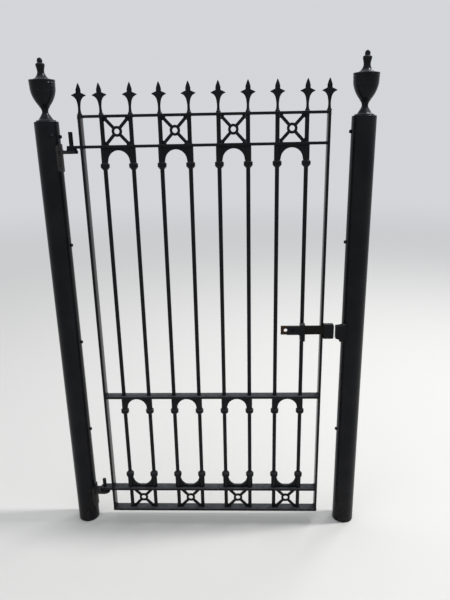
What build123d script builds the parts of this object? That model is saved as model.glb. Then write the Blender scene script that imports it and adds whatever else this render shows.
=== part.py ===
from build123d import *

import os
from math import sqrt

# A wrought-iron side gate: one leaf of eight round bars in four ornamented pairs, hung between two
# round posts with urn finials. Millimetres. The origin is the centre of the hinge post's foot,
# +X runs across the gateway to the latch post, +Y away from the viewer, +Z up.

# Posts
POST_DIAMETER = 88.9
POST_WALL = 5.0
POST_DROP = 23.0
FOOT_PLATE = 8.0
FIXING_HOLE = 10.5
FIXING_FIRST = 450.0
FIXING_LAST_DROP = 51.0
FIXING_COUNT = 4

# Leaf
BAR_DIAMETER = 16.0
BAR_PITCH = 107.0
BAR_COUNT = 8
END_BAY = 78.5
BAR_PLAY = 0.2
FRAME_THICKNESS = 10.0
FRAME_DEPTH = 40.0
LEAF_HEIGHT = 1705.0
LEAF_CLEARANCE = 40.0
BAND_HEIGHT = 97.0
MIDDLE_RAIL_HEIGHT = 602.0

# Ring and cross castings in the two bands
RING_DIAMETER = 39.0
RING_HOLE = 19.0
RING_BEVEL = 1.0
CROSS_WIDTH = 12.0
CROSS_FOOT = 14.0
CROSS_THICKNESS = 6.0
CASTING_PLAY = 0.2

# Arch castings: under the frieze rail, under the middle rail and, upside down, on the lower rail
ARCH_RADIUS = 40.5
ARCH_CROWN = 9.0
ARCH_THICKNESS = 12.0
ARCH_BEVEL = 2.0
ARCH_LEG = 24.0
ARCH_FOOT = 5.0
COLLAR_DIAMETER = 34.0
COLLAR_THICKNESS = 13.0
COLLAR_BEVEL = 3.0
COLLAR_TAPER = 6.0
COLLAR_NECK = 18.5

# Spearheads, their heights stacked from the top rail to the point
STEM_HEIGHT = 32.5
BARB_HEIGHT = 36.0
BARB_SHOULDER = 8.0
BLADE_SHOULDER = 7.0
BLADE_POINT = 26.5
BLADE_WIDTH = 20.5
BLADE_DEPTH = 12.0
BLADE_ROOT_WIDTH = 14.5
BLADE_END_WIDTH = 1.0
BLADE_TAPER = 0.62
BARB_SPAN = 54.0
BARB_EDGE = 3.0
BARB_CURVE_REACH = 0.5
BARB_CURVE_DROP = 0.24
STEM_DIAMETER = 11.6
STEM_WAIST = 10.6
BOSS_DIAMETER = 18.0
BOSS_HEIGHT = 5.0
BOSS_TAPER = 9.0

# Hinges
PIN_DIAMETER = 16.0
PIN_PLAY = 0.3
PIN_STANDOFF = 40.0
TOP_PIN_RISE = 50.0
BOTTOM_PIN_RISE = 38.0
EYE_REACH = 36.5
EYE_WIDTH = 36.0
WASHER_DIAMETER = 38.0
WASHER_THICKNESS = 6.0
HINGE_FLOAT = 0.3
GUDGEON_WIDTH = 44.0
GUDGEON_THICKNESS = 12.0
SADDLE_THICKNESS = 4.0
SADDLE_HEIGHT = 100.0
SADDLE_RISE = 23.0
SADDLE_WIDTH = 59.0
SADDLE_CORNER = 12.0

# Slide bolt, the guides it runs in and the keep on the latch post
LATCH_GAP = 76.5
BOLT_TAIL_REACH = 87.0
BOLT_NOSE = 1.0
BOLT_HEIGHT = 36.0
BOLT_THICKNESS = 8.0
BOLT_CENTRE_HEIGHT = 912.0
BOLT_PLAY = 0.5
BOLT_THROW = 28.0
PADLOCK_HOLE = 15.0
PADLOCK_HOLE_INSET = 19.5
COVER_LENGTH = 72.0
COVER_THICKNESS = 4.0
COVER_FILLET = 8.0
STAPLE_WIDTH = 20.0
STAPLE_ABOVE = 5.5
STAPLE_BELOW = 28.5
HOUSING_BACK = 6.0
HOUSING_ABOVE = 7.0
HOUSING_BELOW = 17.5
HOUSING_CORNER = 6.0
KEEP_GAP = 6.0
KEEP_TIP_ROOM = 7.0
KEEP_PLATE = 5.0
KEEP_SLOT_PLAY = 1.0
KEEP_BELOW = 16.0
KEEP_FLARE_ABOVE = 12.0
KEEP_FLARE_BELOW = 22.0
KEEP_CURVE_ABOVE = 0.25
KEEP_CURVE_BELOW = 0.36

# Urn finials, their heights stacked from the top of the post to the button
URN_SPIGOT = 24.0
URN_SPIGOT_PLAY = 0.5
URN_FLANGE_INSET = 1.0
URN_FLANGE = 3.0
URN_FOOT = 6.0
URN_FOOT_CURVE = 25.0
URN_STEM_CURVE = 20.0
URN_COLLAR = 3.0
URN_BOWL = 67.0
URN_RIM = 4.0
URN_BAND = 14.0
URN_LID_RIM = 4.0
URN_LID_CURVE = 22.0
URN_KNOP_CURVE = 17.0
URN_KNOP = 12.0
URN_KNOP_SLOPE = 4.0
URN_BUTTON = 19.0
URN_FOOT_STEP = 7.5
URN_FOOT_TOP_DIAMETER = 54.0
URN_STEM_DIAMETER = 19.6
URN_COLLAR_DIAMETER = 39.0
URN_RIM_DIAMETER = 93.0
URN_BOWL_DIAMETER = 91.0
URN_LID_NECK_DIAMETER = 26.0
URN_KNOP_DIAMETER = 31.0
URN_BUTTON_DIAMETER = 15.5
URN_EDGE = 1.5
URN_HOLLOW = 0.05
URN_SWELL = 0.1
URN_LID_HOLLOW = 0.24

# Sizes and places that follow from those above
post_radius = POST_DIAMETER / 2
bar_radius = BAR_DIAMETER / 2
bar_hole = bar_radius + BAR_PLAY
bars_span = (BAR_COUNT - 1) * BAR_PITCH
leaf_width = bars_span + 2 * END_BAY + FRAME_THICKNESS
pin_x = post_radius + PIN_STANDOFF
leaf_left = pin_x + EYE_REACH
leaf_right = leaf_left + leaf_width
leaf_middle = (leaf_left + leaf_right) / 2
hinge_stile_x = leaf_left + FRAME_THICKNESS / 2
latch_stile_x = leaf_right - FRAME_THICKNESS / 2
latch_post_x = leaf_right + LATCH_GAP + post_radius
bars_x = [leaf_middle + (i - (BAR_COUNT - 1) / 2) * BAR_PITCH for i in range(BAR_COUNT)]
pairs_x = [(bars_x[i] + bars_x[i + 1]) / 2 for i in range(0, BAR_COUNT - 1, 2)]

leaf_top = LEAF_CLEARANCE + LEAF_HEIGHT
top_rail_z = leaf_top - FRAME_THICKNESS
frieze_rail_z = top_rail_z - BAND_HEIGHT - FRAME_THICKNESS
middle_rail_z = MIDDLE_RAIL_HEIGHT
bottom_rail_z = LEAF_CLEARANCE
lower_rail_z = bottom_rail_z + FRAME_THICKNESS + BAND_HEIGHT

post_height = leaf_top - POST_DROP
fixing_pitch = (post_height - FIXING_LAST_DROP - FIXING_FIRST) / (FIXING_COUNT - 1)

# The bolt slides along the front of the latch stile, in a slot that is BOLT_PLAY larger all round
last_bar_x = bars_x[-1]
bolt_low = BOLT_CENTRE_HEIGHT - BOLT_HEIGHT / 2
bolt_high = BOLT_CENTRE_HEIGHT + BOLT_HEIGHT / 2
slot_low = bolt_low - BOLT_PLAY
slot_high = bolt_high + BOLT_PLAY
slot_back = -FRAME_DEPTH / 2
bolt_back = slot_back - BOLT_PLAY
bolt_front = bolt_back - BOLT_THICKNESS
slot_front = bolt_front - BOLT_PLAY
cover_front = slot_front - COVER_THICKNESS
cover_right = last_bar_x + STAPLE_WIDTH / 2
latch_post_face = latch_post_x - post_radius
keep_mouth = latch_post_face - (BOLT_THROW - KEEP_GAP + KEEP_TIP_ROOM)
bolt_tip = keep_mouth - KEEP_GAP
bolt_tail = last_bar_x - BOLT_TAIL_REACH
housing_right = bolt_tip - BOLT_NOSE
padlock_x = bolt_tail + PADLOCK_HOLE_INSET

os.makedirs("parts", exist_ok=True)


def save(piece, label):
    """Label a finished piece and write its STEP file."""
    piece.label = label
    export_step(piece, f"parts/{label}.step")


def upright_plane(x, y=0.0, z=0.0):
    """A plane facing the viewer: local x is +X, local y is +Z, and extrusion goes towards -Y."""
    return Plane((x, y, z), x_dir=(1, 0, 0), z_dir=(0, -1, 0))


# Posts: round tubes, closed at the foot and cross-drilled for the bolts that hold them to the piers
def make_post(post_x):
    with BuildPart() as post:
        with BuildSketch(Plane((post_x, 0, 0))):
            Circle(post_radius)
        extrude(amount=post_height)
        with BuildSketch(Plane((post_x, 0, FOOT_PLATE))):
            Circle(post_radius - POST_WALL)
        extrude(amount=post_height - FOOT_PLATE, mode=Mode.SUBTRACT)
        with BuildSketch(Plane((post_x, 0, 0), x_dir=(0, 1, 0), z_dir=(1, 0, 0))):
            with Locations(*[(0, FIXING_FIRST + i * fixing_pitch) for i in range(FIXING_COUNT)]):
                Circle(FIXING_HOLE / 2)
        extrude(amount=POST_DIAMETER, both=True, mode=Mode.SUBTRACT)
    return post.part


save(make_post(0.0), "hinge_post")
save(make_post(latch_post_x), "latch_post")


# Urn finials: one turned profile, with a spigot that stands in the top of the tube
def turned_curve(start, end, bulge):
    """A curve of a turned profile that swells by bulge times its chord, or is hollow where negative."""
    chord = Vector(*end) - Vector(*start)
    outward = Vector(chord.Y, -chord.X)
    return Bezier(start, Vector(*start) + chord / 2 + 2 * bulge * outward, end)


def make_urn(post_x):
    spigot_radius = post_radius - POST_WALL - URN_SPIGOT_PLAY
    flange_radius = post_radius - URN_FLANGE_INSET
    foot_radius = flange_radius - URN_FOOT_STEP
    bowl_radius = URN_BOWL_DIAMETER / 2
    rim_radius = URN_RIM_DIAMETER / 2
    collar_radius = URN_COLLAR_DIAMETER / 2
    knop_radius = URN_KNOP_DIAMETER / 2
    foot_top = URN_FLANGE + URN_FOOT
    stem_z = foot_top + URN_FOOT_CURVE
    collar_z = stem_z + URN_STEM_CURVE
    bowl_z = collar_z + URN_COLLAR
    rim_z = bowl_z + URN_BOWL
    band_z = rim_z + URN_RIM
    lid_rim_z = band_z + URN_BAND
    lid_z = lid_rim_z + URN_LID_RIM
    lid_neck_z = lid_z + URN_LID_CURVE
    knop_z = lid_neck_z + URN_KNOP_CURVE
    button_z = knop_z + URN_KNOP + URN_KNOP_SLOPE
    with BuildPart() as urn:
        with BuildSketch(upright_plane(post_x, z=post_height)):
            with BuildLine():
                Polyline((0, -URN_SPIGOT), (spigot_radius, -URN_SPIGOT), (spigot_radius, 0), (flange_radius, 0),
                         (flange_radius, URN_FLANGE), (foot_radius, URN_FLANGE), (foot_radius, foot_top - URN_EDGE),
                         (URN_FOOT_TOP_DIAMETER / 2, foot_top))
                turned_curve((URN_FOOT_TOP_DIAMETER / 2, foot_top), (URN_STEM_DIAMETER / 2, stem_z), -URN_HOLLOW)
                turned_curve((URN_STEM_DIAMETER / 2, stem_z), (collar_radius - URN_EDGE, collar_z), -URN_HOLLOW)
                Polyline((collar_radius - URN_EDGE, collar_z), (collar_radius, collar_z + URN_EDGE),
                         (collar_radius, bowl_z))
                turned_curve((collar_radius, bowl_z), (bowl_radius, rim_z), URN_SWELL)
                Polyline((bowl_radius, rim_z), (rim_radius, rim_z + URN_EDGE), (rim_radius, band_z - URN_EDGE),
                         (bowl_radius, band_z), (bowl_radius, lid_rim_z), (rim_radius, lid_rim_z + URN_EDGE),
                         (rim_radius, lid_z - URN_EDGE), (bowl_radius - URN_EDGE, lid_z))
                turned_curve((bowl_radius - URN_EDGE, lid_z), (URN_LID_NECK_DIAMETER / 2, lid_neck_z), -URN_LID_HOLLOW)
                turned_curve((URN_LID_NECK_DIAMETER / 2, lid_neck_z), (knop_radius, knop_z), -URN_HOLLOW)
                Polyline((knop_radius, knop_z), (knop_radius, knop_z + URN_KNOP),
                         (URN_BUTTON_DIAMETER / 2, button_z))
                Bezier((URN_BUTTON_DIAMETER / 2, button_z), (URN_BUTTON_DIAMETER, button_z + URN_BUTTON),
                       (0, button_z + URN_BUTTON))
                Line((0, button_z + URN_BUTTON), (0, -URN_SPIGOT))
            make_face()
        revolve(axis=Axis((post_x, 0, 0), (0, 0, 1)))
    return urn.part


save(make_urn(0.0), "hinge_post_urn")
save(make_urn(latch_post_x), "latch_post_urn")


# Gudgeons: a saddle round the inner side of the hinge post and a flat plate out to the pin
def make_gudgeon(rail_z):
    top = rail_z - HINGE_FLOAT - WASHER_THICKNESS
    saddle_middle = top + SADDLE_RISE - SADDLE_HEIGHT / 2
    with BuildPart() as gudgeon:
        with BuildSketch(Plane.XY.offset(saddle_middle)):
            Circle(post_radius + SADDLE_THICKNESS)
            Circle(post_radius, mode=Mode.SUBTRACT)
        extrude(amount=SADDLE_HEIGHT / 2, both=True)
        with BuildSketch(Plane((0, 0, saddle_middle), x_dir=(0, 1, 0), z_dir=(1, 0, 0))):
            RectangleRounded(SADDLE_WIDTH, SADDLE_HEIGHT, SADDLE_CORNER)
        extrude(amount=POST_DIAMETER, mode=Mode.INTERSECT)
        with BuildSketch(Plane.XY.offset(top)):
            with Locations((pin_x / 2, 0)):
                Rectangle(pin_x, GUDGEON_WIDTH)
            with Locations((pin_x, 0)):
                Circle(GUDGEON_WIDTH / 2)
                Circle(PIN_DIAMETER / 2 + CASTING_PLAY, mode=Mode.SUBTRACT)
            Circle(post_radius, mode=Mode.SUBTRACT)
        extrude(amount=-GUDGEON_THICKNESS)
    return gudgeon.part


save(make_gudgeon(frieze_rail_z), "top_gudgeon")
save(make_gudgeon(lower_rail_z), "bottom_gudgeon")


# Hinge pins: a round pin through the gudgeon, with the washer that carries the leaf's eye
def make_pin(rail_z, rise):
    washer_bottom = rail_z - HINGE_FLOAT - WASHER_THICKNESS
    pin_top = rail_z + FRAME_THICKNESS + rise
    with BuildPart() as pin:
        with BuildSketch(Plane((pin_x, 0, washer_bottom - GUDGEON_THICKNESS))):
            Circle(PIN_DIAMETER / 2)
        extrude(amount=pin_top - washer_bottom + GUDGEON_THICKNESS)
        chamfer(pin.faces().sort_by(Axis.Z)[-1].edges(), PIN_DIAMETER / 8)
        with BuildSketch(Plane((pin_x, 0, washer_bottom))):
            Circle(WASHER_DIAMETER / 2)
        extrude(amount=WASHER_THICKNESS)
    return pin.part


save(make_pin(frieze_rail_z, TOP_PIN_RISE), "top_hinge_pin")
save(make_pin(lower_rail_z, BOTTOM_PIN_RISE), "bottom_hinge_pin")


# Hinge eyes: flat plates in line with a rail, welded to the hinge stile, that turn on the pins
def make_eye(rail_z):
    with BuildPart() as eye:
        with BuildSketch(Plane.XY.offset(rail_z)):
            with Locations(((pin_x + leaf_left) / 2, 0)):
                Rectangle(EYE_REACH, EYE_WIDTH)
            with Locations((pin_x, 0)):
                Circle(EYE_WIDTH / 2)
                Circle(PIN_DIAMETER / 2 + PIN_PLAY, mode=Mode.SUBTRACT)
        extrude(amount=FRAME_THICKNESS)
    return eye.part


save(make_eye(frieze_rail_z), "top_hinge_eye")
save(make_eye(lower_rail_z), "bottom_hinge_eye")


# Stiles: flat bars on edge between the bottom and top rails
def make_stile(stile_x):
    with BuildPart() as stile:
        with BuildSketch(Plane((stile_x, 0, bottom_rail_z + FRAME_THICKNESS))):
            Rectangle(FRAME_THICKNESS, FRAME_DEPTH)
        extrude(amount=top_rail_z - bottom_rail_z - FRAME_THICKNESS)
    return stile.part


save(make_stile(hinge_stile_x), "hinge_stile")
save(make_stile(latch_stile_x), "latch_stile")


# Rails: flat bars laid flat and drilled for the bars. The outer two run over the stiles' ends
def make_rail(rail_z, length):
    with BuildPart() as rail:
        with BuildSketch(Plane((leaf_middle, 0, rail_z))):
            Rectangle(length, FRAME_DEPTH)
            with Locations(*[(x - leaf_middle, 0) for x in bars_x]):
                Circle(bar_hole, mode=Mode.SUBTRACT)
        extrude(amount=FRAME_THICKNESS)
    return rail.part


inner_width = leaf_width - 2 * FRAME_THICKNESS
for label, rail_z, length in (
    ("bottom_rail", bottom_rail_z, leaf_width),
    ("lower_rail", lower_rail_z, inner_width),
    ("middle_rail", middle_rail_z, inner_width),
    ("frieze_rail", frieze_rail_z, inner_width),
    ("top_rail", top_rail_z, leaf_width),
):
    save(make_rail(rail_z, length), label)


# Bars: round, from the underside of the bottom rail to the top of the top rail
def make_bar(bar_x):
    with BuildPart() as bar:
        with BuildSketch(Plane((bar_x, 0, bottom_rail_z))):
            Circle(bar_radius)
        extrude(amount=leaf_top - bottom_rail_z)
    return bar.part


for i, bar_x in enumerate(bars_x):
    save(make_bar(bar_x), f"bar_{i + 1}")


# Spearheads: a diamond-section blade that runs down between two barbs into a tapering stem on a boss.
# The barbs thin from the blade's ridge out to their edge
def make_spearhead(spear_x):
    stem_radius = STEM_DIAMETER / 2
    barb_reach = BARB_SPAN / 2
    barb_root_z = leaf_top + STEM_HEIGHT
    barb_tip_z = barb_root_z + BARB_HEIGHT
    barb_top_z = barb_tip_z + BARB_SHOULDER
    belly_z = barb_top_z + BLADE_SHOULDER
    sections = (
        (barb_root_z, STEM_DIAMETER, STEM_DIAMETER),
        (barb_top_z, BLADE_ROOT_WIDTH, BLADE_DEPTH),
        (belly_z, BLADE_WIDTH, BLADE_DEPTH),
        (belly_z + BLADE_POINT / 2, BLADE_TAPER * BLADE_WIDTH, BLADE_TAPER * BLADE_DEPTH),
        (belly_z + BLADE_POINT, BLADE_END_WIDTH, BLADE_END_WIDTH),
    )
    with BuildPart() as spear:
        with BuildSketch(upright_plane(spear_x)):
            with BuildLine():
                ThreePointArc((0.2 * BLADE_ROOT_WIDTH, barb_top_z), (0.5 * barb_reach, barb_tip_z + 0.5 * BARB_SHOULDER),
                              (barb_reach, barb_tip_z))
                ThreePointArc((barb_reach, barb_tip_z),
                              (BARB_CURVE_REACH * barb_reach, barb_tip_z - BARB_CURVE_DROP * BARB_HEIGHT),
                              (stem_radius, barb_root_z))
                Polyline((stem_radius, barb_root_z), (0, barb_root_z), (0, barb_top_z),
                         (0.2 * BLADE_ROOT_WIDTH, barb_top_z))
            make_face()
            mirror(about=Plane.YZ)
        extrude(amount=BLADE_DEPTH / 2, both=True)
        with BuildSketch(Plane((spear_x, 0, barb_root_z))):
            with BuildLine():
                Polyline((0, BLADE_DEPTH / 2), (barb_reach, BARB_EDGE / 2), (barb_reach, -BARB_EDGE / 2),
                         (0, -BLADE_DEPTH / 2), (-barb_reach, -BARB_EDGE / 2), (-barb_reach, BARB_EDGE / 2), close=True)
            make_face()
        extrude(amount=BARB_HEIGHT + BARB_SHOULDER, mode=Mode.INTERSECT)
        for z, width, depth in sections:
            with BuildSketch(Plane((spear_x, 0, z))):
                with BuildLine():
                    Polyline((width / 2, 0), (0, depth / 2), (-width / 2, 0), (0, -depth / 2), close=True)
                make_face()
        loft(ruled=True)
        with BuildSketch(upright_plane(spear_x, z=leaf_top)):
            with BuildLine():
                Polyline((0, 0), (BOSS_DIAMETER / 2, 0), (BOSS_DIAMETER / 2, BOSS_HEIGHT),
                         (stem_radius, BOSS_HEIGHT + BOSS_TAPER), (STEM_WAIST / 2, STEM_HEIGHT),
                         (0.3 * STEM_WAIST, STEM_HEIGHT + BARB_HEIGHT / 2), (0, STEM_HEIGHT + BARB_HEIGHT / 2), close=True)
            make_face()
        revolve(axis=Axis((spear_x, 0, 0), (0, 0, 1)))
    return spear.part


for i, spear_x in enumerate([hinge_stile_x, *bars_x, latch_stile_x]):
    save(make_spearhead(spear_x), f"spearhead_{i + 1}")


# Ring and cross castings: one in the band between each pair of bars, cut to fit against both bars.
# Each arm spreads into a small gusset in its corner
def make_rings(band_z):
    half_width = BAR_PITCH / 2 - bar_radius - CASTING_PLAY
    reach = 2 * sqrt(half_width**2 + (BAND_HEIGHT / 2) ** 2)
    with BuildPart() as rings:
        for x in pairs_x:
            with BuildSketch(upright_plane(x, z=band_z + BAND_HEIGHT / 2)):
                diagonal = Vector(half_width, BAND_HEIGHT / 2).get_angle(Vector(1, 0))
                Rectangle(reach, CROSS_WIDTH, rotation=diagonal)
                Rectangle(reach, CROSS_WIDTH, rotation=-diagonal)
                with GridLocations(2 * half_width, BAND_HEIGHT, 2, 2):
                    Rectangle(sqrt(2) * CROSS_FOOT, sqrt(2) * CROSS_FOOT, rotation=45)
                Circle(RING_DIAMETER / 2)
                Circle(RING_HOLE / 2, mode=Mode.SUBTRACT)
                Rectangle(2 * half_width, BAND_HEIGHT, mode=Mode.INTERSECT)
            extrude(amount=CROSS_THICKNESS / 2, both=True)
        chamfer(rings.edges().filter_by(GeomType.CIRCLE), RING_BEVEL)
    return rings.part


save(make_rings(frieze_rail_z + FRAME_THICKNESS), "frieze_rings")
save(make_rings(bottom_rail_z + FRAME_THICKNESS), "base_rings")


# Arch castings: a spandrel between two sleeves that slide on a pair of bars and end in collars.
# way is -1 where the arch hangs under its rail and +1 where it stands on it
def make_arches(rail_face, way):
    springing = ARCH_CROWN + ARCH_RADIUS
    leg_end = springing + ARCH_FOOT
    collar_end = leg_end + 2 * COLLAR_BEVEL + COLLAR_THICKNESS + COLLAR_TAPER
    leg_radius = ARCH_LEG / 2
    collar_radius = COLLAR_DIAMETER / 2
    with BuildPart() as arches:
        with BuildSketch(upright_plane(0, z=rail_face)):
            with Locations(*[(x, way * springing / 2) for x in pairs_x]):
                Rectangle(BAR_PITCH, springing)
            with Locations(*[(x, way * springing) for x in pairs_x]):
                Circle(ARCH_RADIUS, mode=Mode.SUBTRACT)
        extrude(amount=ARCH_THICKNESS / 2, both=True)
        chamfer(arches.edges().filter_by(GeomType.CIRCLE), ARCH_BEVEL)
        for bar_x in bars_x:
            with BuildSketch(upright_plane(bar_x, z=rail_face)):
                with BuildLine():
                    Polyline((0, 0), (leg_radius, 0), (leg_radius, way * leg_end),
                             (collar_radius, way * (leg_end + COLLAR_BEVEL)),
                             (collar_radius, way * (leg_end + COLLAR_BEVEL + COLLAR_THICKNESS)),
                             (COLLAR_NECK / 2, way * collar_end), (0, way * collar_end), close=True)
                make_face()
            revolve(axis=Axis((bar_x, 0, 0), (0, 0, 1)))
            with BuildSketch(Plane((bar_x, 0, rail_face))):
                Circle(bar_hole)
            extrude(amount=way * collar_end, mode=Mode.SUBTRACT)
    return arches.part


save(make_arches(frieze_rail_z, -1), "frieze_arches")
save(make_arches(middle_rail_z, -1), "middle_arches")
save(make_arches(lower_rail_z + FRAME_THICKNESS, 1), "lower_arches")

# Bolt guide: a block saddled on the last bar that the bolt slides through. Its front plate reaches back
# over the bolt's tail, and the padlock hole there meets the bolt's own when the bolt is thrown
staple_height = STAPLE_BELOW + BOLT_HEIGHT + STAPLE_ABOVE
staple_low = bolt_low - STAPLE_BELOW
staple_offset = (STAPLE_ABOVE - STAPLE_BELOW) / 2
with BuildPart() as bolt_guide:
    with BuildSketch(upright_plane(last_bar_x, y=-bar_radius / 2, z=BOLT_CENTRE_HEIGHT)):
        with Locations((0, staple_offset)):
            Rectangle(STAPLE_WIDTH, staple_height)
    extrude(amount=-slot_front - bar_radius / 2)
    with BuildSketch(upright_plane(last_bar_x, y=slot_back)):
        with Locations((0, BOLT_CENTRE_HEIGHT)):
            Rectangle(2 * STAPLE_WIDTH, slot_high - slot_low)
    extrude(amount=slot_back - slot_front, mode=Mode.SUBTRACT)
    with BuildSketch(Plane((last_bar_x, 0, staple_low))):
        Circle(bar_radius)
    extrude(amount=staple_height, mode=Mode.SUBTRACT)
    with BuildSketch(upright_plane(last_bar_x, y=slot_front, z=BOLT_CENTRE_HEIGHT)) as front_plate:
        with Locations((0, staple_offset)):
            Rectangle(STAPLE_WIDTH, staple_height)
        with Locations(((STAPLE_WIDTH - COVER_LENGTH) / 2, 0)):
            Rectangle(COVER_LENGTH, BOLT_HEIGHT)
        lower_corner = (-STAPLE_WIDTH / 2, -BOLT_HEIGHT / 2)
        fillet(front_plate.vertices().sort_by_distance(lower_corner)[0], COVER_FILLET)
        with Locations((padlock_x + BOLT_THROW - last_bar_x, 0)):
            Circle(PADLOCK_HOLE / 2, mode=Mode.SUBTRACT)
    extrude(amount=COVER_THICKNESS)
save(bolt_guide.part, "bolt_guide")

# Bolt housing: a box on the outer face of the latch stile that the bolt's front end runs through
housing_length = housing_right - leaf_right
housing_low = bolt_low - HOUSING_BELOW
housing_high = bolt_high + HOUSING_ABOVE
with BuildPart() as bolt_housing:
    with BuildSketch(upright_plane(leaf_right + housing_length / 2, y=slot_back + HOUSING_BACK)):
        with Locations((0, (housing_low + housing_high) / 2)):
            Rectangle(housing_length, housing_high - housing_low)
    extrude(amount=HOUSING_BACK + slot_back - cover_front)
    outer_corners = bolt_housing.edges().filter_by(Axis.Y).group_by(Axis.X)[-1]
    fillet(outer_corners, HOUSING_CORNER)
    with BuildSketch(upright_plane(leaf_right + housing_length / 2, y=slot_back)):
        with Locations((0, BOLT_CENTRE_HEIGHT)):
            Rectangle(housing_length, slot_high - slot_low)
    extrude(amount=slot_back - slot_front, mode=Mode.SUBTRACT)
save(bolt_housing.part, "bolt_housing")

# Slide bolt: a flat bar with a padlock hole in its tail
bolt_length = bolt_tip - bolt_tail
with BuildPart() as slide_bolt:
    with BuildSketch(upright_plane(bolt_tail, y=bolt_back)):
        with Locations((bolt_length / 2, BOLT_CENTRE_HEIGHT)):
            Rectangle(bolt_length, BOLT_HEIGHT)
        with Locations((PADLOCK_HOLE_INSET, BOLT_CENTRE_HEIGHT)):
            Circle(PADLOCK_HOLE / 2, mode=Mode.SUBTRACT)
    extrude(amount=BOLT_THICKNESS)
save(slide_bolt.part, "slide_bolt")

# Keep: a fork of two fishtail plates on the latch post, one each side of the thrown bolt
keep_slot_back = bolt_back + KEEP_SLOT_PLAY
keep_slot_front = bolt_front - KEEP_SLOT_PLAY
keep_back = keep_slot_back + KEEP_PLATE
keep_front = keep_slot_front - KEEP_PLATE
mouth_low = bolt_low - KEEP_BELOW
mouth_high = bolt_high
root_low = mouth_low - KEEP_FLARE_BELOW
root_high = mouth_high + KEEP_FLARE_ABOVE
keep_reach = latch_post_face - keep_mouth
keep_root = keep_reach + post_radius / 2
keep_bend = 0.4 * keep_root
with BuildPart() as latch_keep:
    with BuildSketch(upright_plane(keep_mouth, y=keep_back)):
        with BuildLine():
            Line((0, mouth_low), (0, mouth_high))
            ThreePointArc((0, mouth_high), (keep_bend, mouth_high + KEEP_CURVE_ABOVE * KEEP_FLARE_ABOVE),
                          (keep_root, root_high))
            Line((keep_root, root_high), (keep_root, root_low))
            ThreePointArc((keep_root, root_low), (keep_bend, mouth_low - KEEP_CURVE_BELOW * KEEP_FLARE_BELOW),
                          (0, mouth_low))
        make_face()
    extrude(amount=keep_back - keep_front)
    with BuildSketch(upright_plane(keep_mouth + keep_reach / 2, y=keep_slot_back)):
        with Locations((0, BOLT_CENTRE_HEIGHT)):
            Rectangle(keep_reach, 2 * (root_high - root_low))
    extrude(amount=keep_slot_back - keep_slot_front, mode=Mode.SUBTRACT)
    with BuildSketch(Plane((latch_post_x, 0, root_low))):
        Circle(post_radius)
    extrude(amount=root_high - root_low, mode=Mode.SUBTRACT)
save(latch_keep.part, "latch_keep")
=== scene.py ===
from math import copysign, cos, pi, radians, sin, sqrt

import bmesh
import bpy
from mathutils import Matrix, Vector, noise


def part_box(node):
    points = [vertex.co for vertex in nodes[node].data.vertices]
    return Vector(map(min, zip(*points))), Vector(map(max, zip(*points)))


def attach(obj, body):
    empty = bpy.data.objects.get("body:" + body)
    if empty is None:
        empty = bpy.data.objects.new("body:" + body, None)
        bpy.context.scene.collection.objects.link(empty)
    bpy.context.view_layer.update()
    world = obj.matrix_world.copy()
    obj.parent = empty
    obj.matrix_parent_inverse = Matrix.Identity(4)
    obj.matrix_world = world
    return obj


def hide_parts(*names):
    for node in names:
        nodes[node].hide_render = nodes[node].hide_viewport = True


# A black side gate between two round posts. Metres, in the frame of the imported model: the origin is
# the hinge post's foot, +X runs to the latch post, +Y away from the viewer.
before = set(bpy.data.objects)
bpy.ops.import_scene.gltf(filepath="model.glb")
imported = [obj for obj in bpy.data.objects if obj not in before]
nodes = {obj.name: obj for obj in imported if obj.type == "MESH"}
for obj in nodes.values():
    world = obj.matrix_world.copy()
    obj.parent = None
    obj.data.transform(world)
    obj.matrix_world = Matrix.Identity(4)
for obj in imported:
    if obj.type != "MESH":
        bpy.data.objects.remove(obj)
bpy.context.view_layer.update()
collection = bpy.context.scene.collection

# Camera, solved from the photograph's bars and rails
CAMERA_PLACE = Vector((0.716, -2.079, 1.687))
CAMERA_PITCH = radians(-17.44)
CAMERA_ROLL = radians(1.08)
CAMERA_YAW = radians(1.99)
FOCAL_PIXELS = 543.6
PHOTO_HEIGHT = 600
SENSOR = 36.0
CAMERA_REACH = 200.0

# Colours, linear
BLACK = (0.0028, 0.0033, 0.0045, 1)
BLACK_WORN = (0.0066, 0.0070, 0.0085, 1)
# The dust colour on upward faces also paints the sky light falling on them, lightening the tops.
DUST_AND_SKY_LIGHT = (0.104, 0.106, 0.118, 1)
SPLASH = (0.034, 0.030, 0.026, 1)
STEEL = (0.034, 0.017, 0.0055, 1)
STEEL_PALE = (0.085, 0.058, 0.034, 1)
STEEL_DARK = (0.0055, 0.0040, 0.0030, 1)
# The saddles' pale colour paints both chalky old paint and a painted reflection on them.
CHALK_AND_REFLECTION = (0.026, 0.024, 0.023, 1)
SKY = (0.80, 0.82, 0.85, 1)
FLOOR = (0.72, 0.71, 0.69, 1)

# Specular level of each finish
PAINT_SPECULAR = 0.13
STEEL_SPECULAR = 0.12
WEATHERED_SPECULAR = 0.22

# Where a finish begins and ends: dust, whose colour also paints sky light, by the upward share of a face's
# normal, splashes by height, the saddles' pale paint, also a painted reflection, by X, and the bolt's bare
# steel by the distance from its tail
UPWARD_STARTS = 0.35
UPWARD_FULL = 0.95
SPLASH_HEIGHT = 0.26
PALE_FULL_X = 0.058
PALE_END_X = 0.078
BARE_FULL = 0.018
BARE_END = 0.034
BARE_RAGGED = 0.012

# How much dust on upward faces, whose colour also paints sky light, and splashes add to the roughness of
# paint, and how far the bolt's top edge is rubbed bare
DULLED = 0.4
EDGE_RUBBED = 0.8

# How finely brush marks and scratches repeat along X, Y and Z
BRUSHED_UPRIGHT = (520.0, 520.0, 9.0)
BRUSHED_LEVEL = (9.0, 520.0, 520.0)
SCRATCHED = (14.0, 420.0, 420.0)

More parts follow.
